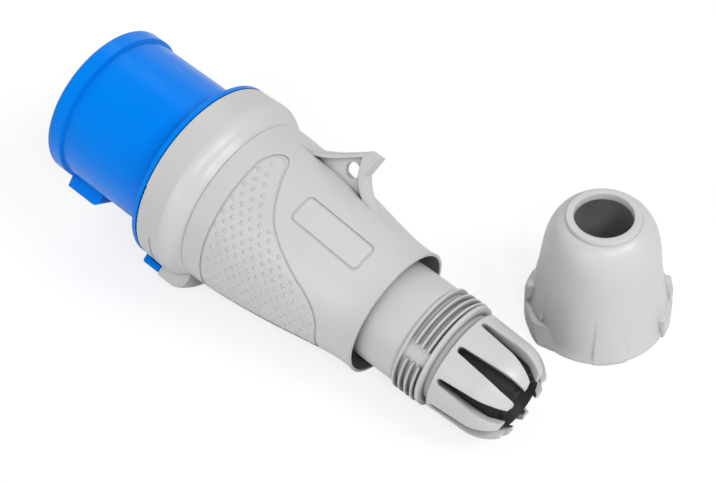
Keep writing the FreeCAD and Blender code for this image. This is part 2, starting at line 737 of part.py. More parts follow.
def nut_foot_block(middle, inner_r):
    """Foot block under a wide pad: flat on top, with one end cut off by a sloping plane."""
    rim = [(-nut_wing_reach, nut_wing[0][1])] + list(nut_wing) + [(nut_wing[-1][0], inner_r)]
    inner = [(a, inner_r) for a in (nut_wing[-2][0], 0.0, nut_wing[-3][0], nut_wing[0][0], -nut_wing_reach)]
    points = flat_points(rim + inner)
    foot = Part.Face(Part.makePolygon(points + points[:1])).extrude(Vector(nut_wing_h, 0, 0))
    a, b, c = [flat_points([(angle, r)])[0] + Vector(h, 0, 0) for h, r, angle in nut_wing_end]
    normal = (b - a).cross(c - a)
    outward = normal.normalize()
    if outward.x < 0:
        outward = outward * -1
    size = 4 * nut_wing_h
    away = Part.makeBox(size, size, size)
    away.translate(Vector(-size / 2, -size / 2, 0))
    away.Placement = FreeCAD.Placement(a, FreeCAD.Rotation(Vector(0, 0, 1), outward)).multiply(away.Placement)
    return swung(foot.cut(away), middle)


def make_nut():
    """Domed gland nut, drawn standing on its foot at the origin."""
    dome = nut_h - nut_ring_h
    inner_r = thread_r + nut_thread_gap
    dome_foot, dome_r = nut_line[-1]
    rim_r = nut_radius(0) + nut_rim_out
    rim_top = nut_rim_h + nut_rim_run
    edge_r = nut_ring_r + nut_ring_step
    lead_in = nut_ring_round * ROUND
    flare = ((rim_top + nut_rim_h) / 2 - nut_rim_h, nut_radius(rim_top) + nut_rim_out * ROUND)
    solid = turned([
        (0, inner_r), (0, rim_r), (nut_rim_h, rim_r), ("arc", flare, (rim_top, nut_radius(rim_top))),
        ("curve", list(nut_line[1:])),
        ("arc", (dome - nut_dome_edge, dome_r - nut_dome_edge), (dome, edge_r)),
        (dome, nut_ring_r), (nut_h - nut_ring_round, nut_ring_r),
        ("arc", (nut_h - lead_in, nut_ring_r - lead_in), (nut_h, nut_ring_r - nut_ring_round)),
        (nut_h, nut_hole_r), (nut_h - nut_hole_len, nut_hole_r), (dome_foot, dome_r - nut_wall),
        (nut_thread_deep + over, inner_r - over), (nut_thread_deep, inner_r),
    ])
    added = []
    for side in (0.0, 180.0):
        added.append(nut_foot_block(side + nut_grip_angle, inner_r + sunk))
        added.append(nut_wedge(nut_grip, side + nut_grip_angle))
        added.append(nut_wedge(nut_pad, side + 90.0))
    solid = one_solid(solid.fuse(added))
    # The section's axis becomes +Z, its 6 o'clock becomes +X, and its 3 o'clock +Y or -Y.
    solid.rotate(ORIGIN, Vector(0, 1, 0), -90)
    return solid


# The plug leans on the lug's lower corner and lies on its collar and finger tips.
roll = math.degrees(math.acos(band_r / lug_r)) + lug_half_angle - lug_angle
rest_x = finger_foot + finger_len * finger_mid
tilt = math.degrees(math.atan2(band_r - finger_mid_r, rest_x - band_end))


def laid_down(shape):
    """A copy of a plug piece, rolled and tilted as the plug lies."""
    copy = shape.copy()
    copy.rotate(ORIGIN, Vector(1, 0, 0), -roll)
    copy.rotate(ORIGIN, Vector(0, 1, 0), tilt)
    return copy


def box_of(shapes):
    """Bounding box of several shapes, measured on their true surfaces."""
    box = FreeCAD.BoundBox()
    for shape in shapes:
        box.add(shape.optimalBoundingBox(False, False))
    return box


def build():
    plug = {
        "handle": make_handle(),
        "shroud": make_shroud(),
        "flange_gasket": make_gasket(),
        "contact_carrier": make_carrier(),
        "contact_retainer": make_retainer(),
        "retainer_screw": make_retainer_screw(),
        "clamp_cage": make_cage(),
        "seal_outer_ring": make_seal_outer(),
        "seal_inner_ring": make_seal_inner(),
    }
    for name, angle, r, barrel_r in CONTACTS:
        plug[name + "_pin"] = make_contact(angle, r, barrel_r)
        plug[name + "_terminal_screw"] = make_terminal_screw(angle, barrel_r)
        plug[name + "_wire_leaf"] = make_wire_leaf(angle, barrel_r)
    nodes = {name: laid_down(shape) for name, shape in plug.items()}
    lowest = box_of(nodes.values()).ZMin
    for shape in nodes.values():
        shape.translate(Vector(0, 0, -lowest))
    nut = make_nut()
    tip_x = finger_tip * math.cos(math.radians(tilt))
    nut.rotate(ORIGIN, Vector(0, 0, 1), nut_turn)
    nut.translate(Vector(tip_x - nut_back, cage_r + nut_beside + nut_radius(0) + nut_rim_out, 0))
    nodes["gland_nut"] = nut
    whole = box_of(nodes.values())
    shift = Vector(-(whole.XMin + whole.XMax) / 2, -(whole.YMin + whole.YMax) / 2, -whole.ZMin)
    for shape in nodes.values():
        shape.translate(shift)
    mouth = Vector(0, 0, -lowest) + shift
    return nodes, mouth, whole


nodes, mouth, whole = build()
os.makedirs("parts", exist_ok=True)
for name, shape in nodes.items():
    shape.exportStep("parts/" + name + ".step")
    print(name, "valid" if shape.isValid() else "NOT VALID", len(shape.Solids), round(shape.Volume, 1))
print("mouth centre", [round(v, 4) for v in mouth], "roll", round(roll, 4), "tilt", round(tilt, 4))
print("box", [round(v, 3) for v in (whole.XLength, whole.YLength, whole.ZLength)])
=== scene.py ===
# %% [markdown]
# # An industrial pin and sleeve plug, with its gland nut taken off
#
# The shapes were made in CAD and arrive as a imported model. Blender gives them their looks:
# moulded polyamide, rubber, plated brass and zinced steel, lit as a small thing is lit on a
# white table. What is finer than a CAD piece should be, such as the grip dots, is added here,
# and the nut, which the photograph shows with straighter sides than the CAD has, is drawn anew.

import math

import bmesh
import bpy
from mathutils import Matrix, Vector
from mathutils.bvhtree import BVHTree


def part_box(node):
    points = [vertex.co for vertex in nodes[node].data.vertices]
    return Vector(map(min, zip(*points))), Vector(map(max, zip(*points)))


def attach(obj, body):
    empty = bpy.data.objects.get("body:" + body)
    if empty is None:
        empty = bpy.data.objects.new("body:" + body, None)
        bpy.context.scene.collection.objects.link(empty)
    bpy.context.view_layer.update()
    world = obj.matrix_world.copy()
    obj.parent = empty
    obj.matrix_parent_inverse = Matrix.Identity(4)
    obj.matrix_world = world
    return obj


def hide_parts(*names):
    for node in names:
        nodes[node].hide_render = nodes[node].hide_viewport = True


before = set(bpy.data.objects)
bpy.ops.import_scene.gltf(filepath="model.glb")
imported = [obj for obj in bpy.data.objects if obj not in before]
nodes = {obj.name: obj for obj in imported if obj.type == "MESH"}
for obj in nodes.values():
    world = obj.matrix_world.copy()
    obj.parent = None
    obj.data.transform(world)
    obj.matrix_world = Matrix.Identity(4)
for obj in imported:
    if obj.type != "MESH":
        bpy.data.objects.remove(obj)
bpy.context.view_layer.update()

# %% [markdown]
# Blender works in metres and the plug was measured in millimetres, so every length below is
# written in millimetres and multiplied once. Places on the plug are easiest to say along its own
# axis: how far behind the mouth of the sleeve, how far from the axis, and at what angle from the
# earth pin. One matrix takes such a place to where the plug lies on the floor.

# %% Where the plug lies
MM = 0.001
MOUTH = Vector((-77.729, -19.9768, 34.6515))  # middle of the sleeve's mouth, mm
ROLL = math.radians(34.9317)
TILT = math.radians(8.537)
plug_space = (
    Matrix.Translation(MOUTH * MM)
    @ Matrix.Rotation(TILT, 4, "Y")
    @ Matrix.Rotation(-ROLL, 4, "X")
)


def on_plug(along, radius, angle):
    """A place on the plug: mm behind the mouth, mm from the axis, degrees from the earth pin."""
    a = math.radians(angle)
    return plug_space @ (Vector((along, -radius * math.sin(a), -radius * math.cos(a))) * MM)


# %% [markdown]
# ## Materials
#
# A surface is believed when its colour, its gloss and its finest relief agree. Each material
# below starts from what the real one is and how its surface was made. Two helpers keep the cells
# short: one turns a hex colour, which is written for a screen, into the linear values that light
# is added up in, and one adds a shader node with its settings and its links.


def linear(hex_code):
    """An sRGB hex colour as the linear red, green, blue and alpha that the shaders use."""
    parts = [int(hex_code[i:i + 2], 16) / 255 for i in (1, 3, 5)]
    return [p / 12.92 if p <= 0.04045 else ((p + 0.055) / 1.055) ** 2.4 for p in parts] + [1.0]


def add(tree, kind, inputs=None, **settings):
    """Adds one node, sets it up, and fills its inputs with values or links them to sockets."""
    made = tree.nodes.new("ShaderNode" + kind)
    for name, value in settings.items():
        setattr(made, name, value)
    for name, value in (inputs or {}).items():
        if isinstance(value, bpy.types.NodeSocket):
            tree.links.new(value, made.inputs[name])
        else:
            made.inputs[name].default_value = value
    return made


def per_metre(size_mm):
    """The scale of a pattern whose marks are this many millimetres across."""
    return 1 / (size_mm * MM)


def new_material(name):
    """An empty material, its node tree and its output."""
    material = bpy.data.materials.new(name)
    material.use_nodes = True
    material.node_tree.nodes.clear()
    return material, material.node_tree


def finish_material(tree, shader):
    add(tree, "OutputMaterial", {"Surface": shader.outputs[0]})


# %% [markdown]
# The body of the plug is glass-free polyamide, moulded in a tool whose steel was spark eroded.
# That leaves a fine even grain, about 0.15 mm from bump to bump, so highlights are broad and soft
# and never mirror the lamp. The grain is drawn at 0.3 mm because finer marks would fall between
# the pixels. The colour is a light grey, and it drifts a little where the melt flowed. Its edges
# are rounded as a mould rounds them. The bottoms of grooves and threads, and deep hollows such as
# the inside of the nut, get painted shade: an ambient occlusion node finds those places and
# darkens the colour there.

# %% Moulded polyamide
# Painted shade: the colour is darkened in corners and deep hollows, by how little sky is free
# there.
CORNER_MM = 3.0      # how far a corner looks round for what closes it in
CORNER_SHADE = 0.45  # share of the colour that is left in a corner
HOLLOW_MM = 25.0     # the same for a deep hollow, such as the inside of the nut
HOLLOW_SHADE = 0.3
HOLLOW_SKY = (0.1, 0.45)  # from this share of free sky, where it is darkest, to this one
FLOW_MM = 22         # how far apart the melt's colour drifts
WIPE_MM = 6          # the same for its gloss
WIPE_RANGE = 0.04    # how much rougher or smoother the gloss gets
NOISE_LOW = 0.3      # a noise texture seldom leaves this range
NOISE_HIGH = 0.7


def closed_in(tree, colour, reach_mm, closed, opened, left):
    """Painted shade: the colour, darker where less of the sky than a share from closed to opened
    is free.
    """
    sky = add(tree, "AmbientOcclusion", {"Distance": reach_mm * MM}, samples=8)
    shade = add(tree, "MapRange", {
        "Value": sky.outputs["AO"], "From Min": closed, "From Max": opened,
        "To Min": left, "To Max": 1.0,
    })
    dimmed = add(tree, "VectorMath", {0: colour, 1: shade.outputs["Result"]}, operation="MULTIPLY")
    return dimmed.outputs["Vector"]


def moulded_polyamide(name, colour, drift, gloss, grain_mm, grain_depth_mm, edge_mm, specular,
                      corner=(0.2, 0.75), sheen_tint="#FFFFFF"):
    """Polyamide straight from the mould: drifting colour, fine grain, rounded edges, painted
    shade.
    """
    material, tree = new_material(name)
    place = add(tree, "TexCoord").outputs["Object"]
    flow = add(tree, "TexNoise", {"Vector": place, "Scale": per_metre(FLOW_MM), "Detail": 2.0})
    tone = add(tree, "Mix", {"Factor": flow.outputs["Fac"]}, data_type="RGBA")
    tone.inputs["A"].default_value = linear(colour)
    tone.inputs["B"].default_value = linear(drift)
    wipe = add(tree, "TexNoise", {"Vector": place, "Scale": per_metre(WIPE_MM), "Detail": 4.0})
    sheen = add(tree, "MapRange", {
        "Value": wipe.outputs["Fac"], "From Min": NOISE_LOW, "From Max": NOISE_HIGH,
        "To Min": gloss - WIPE_RANGE, "To Max": gloss + WIPE_RANGE,
    })
    grain = add(tree, "TexNoise", {"Vector": place, "Scale": per_metre(grain_mm), "Detail": 3.0})
    edge = add(tree, "Bevel", {"Radius": edge_mm * MM}, samples=4)
    relief = add(tree, "Bump", {
        "Height": grain.outputs["Fac"], "Distance": grain_depth_mm * MM, "Strength": 0.5,
        "Normal": edge.outputs["Normal"],
    })
    # Painted shade: darker in corners, and darker still in deep hollows.
    painted_corner_shade = closed_in(tree, tone.outputs["Result"], CORNER_MM, *corner, CORNER_SHADE)
    hollow = closed_in(tree, painted_corner_shade, HOLLOW_MM, *HOLLOW_SKY, HOLLOW_SHADE)
    shader = add(tree, "BsdfPrincipled", {
        "Base Color": hollow, "Roughness": sheen.outputs["Result"],
        "Normal": relief.outputs["Normal"], "IOR": 1.53, "Specular IOR Level": specular,
        "Specular Tint": linear(sheen_tint),
    })
    finish_material(tree, shader)
    return material


grey_polyamide = moulded_polyamide(
    "grey_polyamide_moulded", "#CDCDCC", "#C7C7C5", gloss=0.36, grain_mm=0.3,
    grain_depth_mm=0.012, edge_mm=0.45, specular=0.5)

# %% [markdown]
# The blue front part comes from a polished tool. Its grain is all but gone, so it shows the white
# of the room along its edges, and its colour is the one that marks 230 volt plugs. The sheen is
# tinted blue, because plain white highlights would make the strong blue look pale.

# %% Blue polyamide
# Its painted shade starts in shallower corners, so the step behind the rim shows as a dark line.
blue_polyamide = moulded_polyamide(
    "blue_polyamide_polished", "#0086F6", "#0080EE", gloss=0.2, grain_mm=0.6,
    grain_depth_mm=0.003, edge_mm=0.25, specular=0.25, corner=(0.5, 0.97), sheen_tint="#2E9BFF")

# %% [markdown]
# The seals are black rubber, pressed in a blasted mould. Rubber scatters what little light it
# returns, so it is very dark and matt, with a fine tooth.

# %% Pressed rubber
def pressed_rubber(name, colour, bloom_colour, rough, tooth_mm, tooth_depth_mm, bloom_mm):
    """Rubber with a fine tooth, and with cloudy patches where its surface has bloomed."""
    material, tree = new_material(name)
    place = add(tree, "TexCoord").outputs["Object"]
    tooth = add(tree, "TexNoise", {"Vector": place, "Scale": per_metre(tooth_mm), "Detail": 4.0})
    relief = add(tree, "Bump", {
        "Height": tooth.outputs["Fac"], "Distance": tooth_depth_mm * MM, "Strength": 0.6,
    })
    bloom = add(tree, "TexNoise", {"Vector": place, "Scale": per_metre(bloom_mm), "Detail": 3.0})
    tone = add(tree, "Mix", {"Factor": bloom.outputs["Fac"]}, data_type="RGBA")
    tone.inputs["A"].default_value = linear(colour)
    tone.inputs["B"].default_value = linear(bloom_colour)
    shader = add(tree, "BsdfPrincipled", {
        "Base Color": tone.outputs["Result"], "Roughness": rough,
        "Normal": relief.outputs["Normal"], "IOR": 1.52, "Specular IOR Level": 0.3,
    })
    finish_material(tree, shader)
    return material


black_rubber = pressed_rubber(
    "black_rubber_pressed", "#0E0E0F", "#1A1A1B", rough=0.6, tooth_mm=0.35,
    tooth_depth_mm=0.02, bloom_mm=5)

# %% [markdown]
# The pins are turned from brass bar and nickel plated. The lathe leaves rings round them, which
# stretch a highlight into a line along the pin. Real ones are too fine for the pixels, so they are
# drawn as faint waves about 2 mm apart. The plating is a warm silver.

# %% Plated metals
WAVE_RADIANS = 20  # how far the wave texture turns its sine for each unit of its vector
CLOUD_MM = 2.5     # size of the cloudy patches in a plating's gloss
CLOUD_SMOOTHER = 0.05
CLOUD_ROUGHER = 0.07


def plated_metal(name, colour, rough, ring_mm, ring_depth_mm):
    """Turned metal under a thin plating: a ring every 2 pi times ring_mm, and cloudy gloss."""
    material, tree = new_material(name)
    place = add(tree, "TexCoord").outputs["Object"]
    turned = add(tree, "Mapping", {"Vector": place, "Rotation": (0, -TILT, 0)})
    rings = add(tree, "TexWave", {
        "Vector": turned.outputs["Vector"], "Scale": per_metre(ring_mm) / WAVE_RADIANS,
        "Distortion": 0.4, "Detail": 2.0,
    }, bands_direction="X")
    relief = add(tree, "Bump", {
        "Height": rings.outputs["Fac"], "Distance": ring_depth_mm * MM, "Strength": 0.5,
    })
    cloud = add(tree, "TexNoise", {"Vector": place, "Scale": per_metre(CLOUD_MM), "Detail": 4.0})
    gloss = add(tree, "MapRange", {
        "Value": cloud.outputs["Fac"], "From Min": NOISE_LOW, "From Max": NOISE_HIGH,
        "To Min": rough - CLOUD_SMOOTHER, "To Max": rough + CLOUD_ROUGHER,
    })
    shader = add(tree, "BsdfPrincipled", {
        "Base Color": linear(colour), "Metallic": 1.0, "Roughness": gloss.outputs["Result"],
        "Normal": relief.outputs["Normal"],
    })
    finish_material(tree, shader)
    return material


nickel_on_brass = plated_metal(
    "nickel_on_turned_brass", "#CFC8B4", rough=0.24, ring_mm=0.3, ring_depth_mm=0.004)
zinc_on_steel = plated_metal(
    "zinc_on_rolled_steel", "#BFC2C4", rough=0.32, ring_mm=0.4, ring_depth_mm=0.003)

# %% [markdown]
# The carrier that holds the pins is the same blue, but darker and duller: its polyamide is filled
# with glass fibre, so that it keeps its shape beside a hot contact, and the fibre breaks the skin.

# %% Give every CAD piece its material
carrier_polyamide = moulded_polyamide(
    "blue_polyamide_glass_filled", "#0F63B4", "#0D5AA6", gloss=0.52, grain_mm=0.4,
    grain_depth_mm=0.02, edge_mm=0.2, specular=0.4)
FINISHES = {
    grey_polyamide: ["handle", "clamp_cage", "gland_nut"],
    blue_polyamide: ["shroud"],
    carrier_polyamide: ["contact_carrier", "contact_retainer"],
    black_rubber: ["flange_gasket", "seal_outer_ring", "seal_inner_ring"],
    nickel_on_brass: ["earth_pin", "line_pin", "neutral_pin"],
    zinc_on_steel: ["retainer_screw"] + [
        name + piece
        for name in ("earth", "line", "neutral")
        for piece in ("_terminal_screw", "_wire_leaf")
    ],
}
for material, names in FINISHES.items():
    for name in names:
        mesh = nodes[name].data
        mesh.materials.clear()
        mesh.materials.append(material)
print("dressed:", sum(len(names) for names in FINISHES.values()))

# %% [markdown]
# ## Grip dots
#
# Each side of the handle has a leaf-shaped pad full of small raised dots, so that a wet hand can
# pull the plug. Painting them as bump would fail along the silhouette, so each is a low dome of
# its own. The mould opens sideways, so the dots stand in an even slanted grid when the handle is
# seen square from the side, and crowd together where it curves away. Each place in that grid is
# dropped onto the real surface by casting a ray towards the axis.

# %% Helpers for meshes
WELL_OUTSIDE = 40  # mm from the plug's axis, clear of the handle
handle_tree = BVHTree.FromObject(nodes["handle"], bpy.context.evaluated_depsgraph_get())


def drop_onto_handle(along, angle):
    """Where a line from outside towards the plug's axis meets the handle, and its normal there."""
    outside = on_plug(along, WELL_OUTSIDE, angle)
    inside = on_plug(along, 0, angle)
    place, normal, _, _ = handle_tree.ray_cast(outside, (inside - outside).normalized())
    return place, normal


def add_piece(name, mesh_maker, material, body):
    """A new piece from a function that fills a bmesh; it rides on a CAD body."""
    mesh = bpy.data.meshes.new(name)
    shape = bmesh.new()
    mesh_maker(shape)
    bmesh.ops.recalc_face_normals(shape, faces=shape.faces)
    shape.to_mesh(mesh)
    shape.free()
    mesh.materials.append(material)
    mesh.shade_smooth()
    piece = bpy.data.objects.new(name, mesh)
    bpy.context.scene.collection.objects.link(piece)
    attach(piece, body)
    print(name, "faces:", len(mesh.polygons))
    return piece


# %% Where the dots stand
CREASE = 53.1            # where the shoulder meets the body, mm behind the mouth
GRIP_OUTLINE = (
    (6.3, -27.0), (6.3, 17.6), (7.0, 20.6), (8.6, 21.8), (11.2, 21.5), (13.4, 20.0),
    (16.6, 15.4), (20.1, 10.5), (26.3, 5.3), (33.7, 0.7), (38.0, -2.2), (40.4, -4.0),
    (42.2, -6.4), (42.8, -9.0), (42.8, -27.0),
)  # mm behind the crease, mm above the plug's axis
DOT_START = (26.58, -0.8)  # one dot of the grid, in the same two lengths
DOT_ALONG = 2.93         # from dot to dot in a row
DOT_SHIFT = 1.42         # how far each row starts behind the one above
DOT_ROW = 2.05           # from row to row
DOT_ROWS = range(-12, 14)
DOT_COLUMNS = range(-16, 12)
DOT_MARGIN = 1.25        # from a dot's middle to the outline
DOT_LOWEST_ANGLE = 34


def fits_on_grip(x, z):
    """Whether a dot fits inside the outline of the grip pad, clear of its groove."""
    crossings = 0
    ends = GRIP_OUTLINE[1:] + GRIP_OUTLINE[:1]
    for (xa, za), (xb, zb) in zip(GRIP_OUTLINE, ends):
        start, run = Vector((xa, za)), Vector((xb - xa, zb - za))
        share = min(1.0, max(0.0, (Vector((x, z)) - start).dot(run) / run.length_squared))
        if (start + share * run - Vector((x, z))).length < DOT_MARGIN:
            return False
        if (za > z) != (zb > z) and x < xa + (z - za) / (zb - za) * (xb - xa):
            crossings += 1
    return crossings % 2 == 1


def dot_places():
    """Stations and angles of the dots of one pad: a slanted grid, seen square from the side."""
    for row in DOT_ROWS:
        z = DOT_START[1] - DOT_ROW * row
        for column in DOT_COLUMNS:
            x = DOT_START[0] + DOT_ALONG * column + DOT_SHIFT * row
            if not fits_on_grip(x, z):
                continue
            middle = on_plug(CREASE + x, 0, 0)
            radius = (drop_onto_handle(CREASE + x, 90)[0] - middle).length / MM
            if radius > abs(z):
                angle = math.degrees(math.acos(-z / radius))
                if angle > DOT_LOWEST_ANGLE:
                    yield CREASE + x, angle


print("dots on each pad:", len(list(dot_places())))

# %% Raised dots
DOT_R = 0.6          # mm, as its heights are
DOT_RINGS = ((1.0, -0.06), (0.88, 0.08), (0.6, 0.17), (0.25, 0.21))  # share of the radius, height
DOT_HEIGHT = 0.215
DOT_SIDES = 14


def raise_dot(shape, place, normal):
    """One low dome, its foot sunk a little so that it grows out of the surface."""
    turn = normal.to_track_quat("Z", "Y").to_matrix()
    rings = []
    for share, height in DOT_RINGS:
        ring = []
        for k in range(DOT_SIDES):
            a = 2 * math.pi * k / DOT_SIDES
            local = Vector((DOT_R * share * math.cos(a), DOT_R * share * math.sin(a), height))
            ring.append(shape.verts.new(place + turn @ (local * MM)))
        rings.append(ring)
    top = shape.verts.new(place + turn @ (Vector((0, 0, DOT_HEIGHT)) * MM))
    for low, high in zip(rings, rings[1:]):
        for k in range(DOT_SIDES):
            n = (k + 1) % DOT_SIDES
            shape.faces.new((low[k], low[n], high[n], high[k]))
    for k in range(DOT_SIDES):
        shape.faces.new((rings[-1][k], rings[-1][(k + 1) % DOT_SIDES], top))
    shape.faces.new(list(reversed(rings[0])))


def raise_dots(side):
    """A maker for all the dots of the pad on one side of the handle."""
    def maker(shape):
        for along, angle in dot_places():
            place, normal = drop_onto_handle(along, side * angle)
            raise_dot(shape, place, normal)
    return maker


for side, name in ((1, "near_pad_dots"), (-1, "far_pad_dots")):
    dots = add_piece(name, raise_dots(side), grey_polyamide, "handle_body")

# %% [markdown]
# ## The gland nut
#
# In the photograph the nut's sides run straight down to a plain foot, and its shoulder is wide and
# soft. The CAD nut flares at the foot, so this piece stands for it, with the same axis, height,
# bore, hole and ring. Four pads grow out of the cone towards the foot: two narrow ones, and two
# wide ones for the fingers, each with an upright wing and a block with one end cut off aslant.
# A lathe alone can't make them, so the outside is drawn as a radius for each height and
# direction, on a grid fine enough for the pads' crisp sides, and the inside is turned from a
# short outline. Every length below is in millimetres.

# %% The nut's outline
nut_low, nut_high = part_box("gland_nut")
NUT_X = (nut_low.x + nut_high.x) / 2 / MM
NUT_Y = (nut_low.y + nut_high.y) / 2 / MM
NUT_H = nut_high.z / MM
NUT_FOOT_R = 18.75
NUT_TAPER = 0.124        # how much narrower for each millimetre up
NUT_JOIN_H = 25.6        # where the straight side turns into the shoulder
NUT_RIM_OUT = 0.5        # soft rim round the foot
NUT_RIM_H = 0.6
NUT_RIM_RUN = 2.4        # height over which the rim fades into the cone
NUT_RING_H = 1.2
NUT_RING_R = 9.9
NUT_RING_STEP = 0.3      # how far the shoulder ends outside the ring
NUT_HOLE_R = 7.8
NUT_HOLE_LEN = 2.2
NUT_EDGE = 0.5           # rounding of the foot and of the ring's outer edge
NUT_EDGE_STEP = 0.15     # the middle point of that rounding
HOLE_EDGE = 0.3          # the same for the hole's edge
HOLE_EDGE_STEP = 0.1
NUT_BORE_R = 15.8
NUT_BORE_DEEP = 13.0
NUT_DOME_INSIDE = (32.0, 11.4)  # height, radius
NUT_ROW = 0.4            # from row to row of the straight side
NUT_COLUMNS = 540        # points round the nut
SHOULDER_STEPS = 24
SHOULDER_REACH = 7.0     # how far the curve follows the straight side on
SHOULDER_FALL = Vector((-0.9, 2.2))  # where it comes from at the ring: down, and out


def nut_side(height):
    """Radius of the plain cone of the nut, with the rim round its foot."""
    fade = min(1.0, max(0.0, 1 - (height - NUT_RIM_H) / NUT_RIM_RUN))
    return NUT_FOOT_R - NUT_TAPER * height + NUT_RIM_OUT * fade * fade


def shoulder_rows():
    """The shoulder: a cubic curve that leaves along the straight side and falls from the ring."""
    a = Vector((NUT_JOIN_H, nut_side(NUT_JOIN_H)))
    b = a + Vector((SHOULDER_REACH, -NUT_TAPER * SHOULDER_REACH))
    d = Vector((NUT_H - NUT_RING_H, NUT_RING_R + NUT_RING_STEP))
    c = d + SHOULDER_FALL
    rows = []
    for k in range(1, SHOULDER_STEPS + 1):
        t = k / SHOULDER_STEPS
        p = (1 - t) ** 3 * a + 3 * (1 - t) ** 2 * t * b + 3 * (1 - t) * t ** 2 * c + t ** 3 * d
        rows.append((p.x, p.y))
    return rows


def nut_rows():
    """Height and plain radius of each row of the outside, from the foot to the ring."""
    rows = [
        (0.0, nut_side(0) - NUT_EDGE),
        (NUT_EDGE_STEP, nut_side(NUT_EDGE_STEP) - NUT_EDGE_STEP),
        (NUT_EDGE, nut_side(NUT_EDGE)),
    ]
    rows += [(NUT_ROW * k, nut_side(NUT_ROW * k)) for k in range(2, int(NUT_JOIN_H / NUT_ROW) + 1)]
    return rows + shoulder_rows()


print("rows of the nut's outside:", len(nut_rows()))


# %% [markdown]
# The pads are told apart from the cone by angle. Each pad's half width shrinks with height, as a
# short list of heights and half angles says, and its rise above the cone fades to nothing at its
# top. A wing is a thin upright plate in the middle of a wide pad. The block's plan is a list of
# angles and radii, and a plane through three points cuts its corner.

# %% Pads and blocks on the nut
WIDE_PADS = (40.1, 220.1)      # degrees round the nut
NARROW_PADS = (135.5, 315.5)
PAD_TOP = 18.0
PAD_EDGE = 1.2                 # degrees over which a pad's side falls
WIDE_RISE = 1.0
WIDE_HALF = ((0.0, 31.0), (PAD_TOP, 26.0))   # height, half width in degrees
NARROW_RISE = 0.6
NARROW_HALF = ((0.0, 15.0), (PAD_TOP, 13.4))
WING_HALF = 5.0                # degrees
WING_TOP = 12.4
WING_OUT = ((0.0, 19.9), (9.0, 19.9), (WING_TOP, 19.2))  # height, radius
BLOCK_H = 6.0
BLOCK_PLAN = (
    (-47.0, 20.6), (-34.4, 20.6), (-23.4, 20.2), (-15.4, 19.9), (14.6, 19.9), (34.0, 19.6),
    (34.1, 0.0),
)  # degrees from the pad's middle, radius
BLOCK_CUT = ((6.0, 19.4, -29.4), (0.0, 20.6, -34.4), (3.6, 18.2, -44.9))  # height, radius, degrees
print("widest part of the blocks:", 2 * max(radius for _, radius in BLOCK_PLAN), "mm")


# %% How far out the nut reaches
def between(pairs, x):
    """Straight-line value at x from pairs of x and value, held at both ends."""
    if x <= pairs[0][0]:
        return pairs[0][1]
    for (xa, ya), (xb, yb) in zip(pairs, pairs[1:]):
        if x <= xb:
            return ya + (yb - ya) * (x - xa) / (xb - xa)
    return pairs[-1][1]


def off_middle(angle, middle):
    """Signed degrees from a pad's middle, counted as the blocks are drawn."""
    return (middle - angle + 180) % 360 - 180


def covered(half, off):
    """One well inside a half width, nothing outside it, with a short slope between."""
    return min(1.0, max(0.0, (half - abs(off)) / PAD_EDGE))


cut_points = [
    Vector((r * math.cos(math.radians(a)), r * math.sin(math.radians(a)), h))
    for h, r, a in BLOCK_CUT
]
cut_normal = (cut_points[1] - cut_points[0]).cross(cut_points[2] - cut_points[0])
if cut_normal.dot(cut_points[0]) < 0:
    cut_normal.negate()


def block_radius(height, off):
    """Radius of the foot block at so many degrees from its middle, or nothing."""
    if height > BLOCK_H or not BLOCK_PLAN[0][0] <= off <= BLOCK_PLAN[-1][0]:
        return 0.0
    a = math.radians(off)
    along = Vector((math.cos(a), math.sin(a), 0))
    free = cut_normal.dot(cut_points[0] - Vector((0, 0, height))) / cut_normal.dot(along)
    return min(between(BLOCK_PLAN, off), free)


def nut_radius(height, plain, angle):
    """Radius of the nut's outside with its pads, wings and blocks."""
    cone = NUT_FOOT_R - NUT_TAPER * height
    fade = 1 - height / PAD_TOP
    raised = plain
    pads = ((NARROW_PADS, NARROW_HALF, NARROW_RISE), (WIDE_PADS, WIDE_HALF, WIDE_RISE))
    if height < PAD_TOP:
        for middles, halves, rise in pads:
            for middle in middles:
                share = covered(between(halves, height), off_middle(angle, middle))
                raised = max(raised, plain + share * (cone + rise * fade - plain))
    for middle in WIDE_PADS:
        off = off_middle(angle, middle)
        raised = max(raised, block_radius(height, off))
        if height < WING_TOP:
            wing = between(WING_OUT, height)
            raised = max(raised, plain + covered(WING_HALF, off) * (wing - plain))
    return raised


# %% The nut
SHARP_FROM = math.radians(35)
RING_FOOT = 0.1      # a short first step that keeps the ring's foot crisp
COLUMN_DEGREES = [360 * k / NUT_COLUMNS for k in range(NUT_COLUMNS)]
TURNED = (
    (NUT_H - NUT_RING_H, NUT_RING_R),
    (NUT_H - NUT_RING_H + RING_FOOT, NUT_RING_R),
    (NUT_H - NUT_EDGE, NUT_RING_R),
    (NUT_H - NUT_EDGE_STEP, NUT_RING_R - NUT_EDGE_STEP),
    (NUT_H, NUT_RING_R - NUT_EDGE),
    (NUT_H, NUT_HOLE_R + HOLE_EDGE),
    (NUT_H - HOLE_EDGE_STEP, NUT_HOLE_R + HOLE_EDGE_STEP),
    (NUT_H - HOLE_EDGE, NUT_HOLE_R),
    (NUT_H - NUT_HOLE_LEN, NUT_HOLE_R),
    NUT_DOME_INSIDE,
    (NUT_BORE_DEEP, NUT_BORE_R),
    (0.0, NUT_BORE_R),
)  # height and radius of the ring, the hole and the bore, from outside to inside


def nut_ring(shape, height, radii):
    """Points round the nut's axis at one height, one for each column."""
    ring = []
    for degrees, radius in zip(COLUMN_DEGREES, radii):
        a = math.radians(degrees)
        place = Vector((NUT_X + radius * math.cos(a), NUT_Y + radius * math.sin(a), height))
        ring.append(shape.verts.new(place * MM))
    return ring


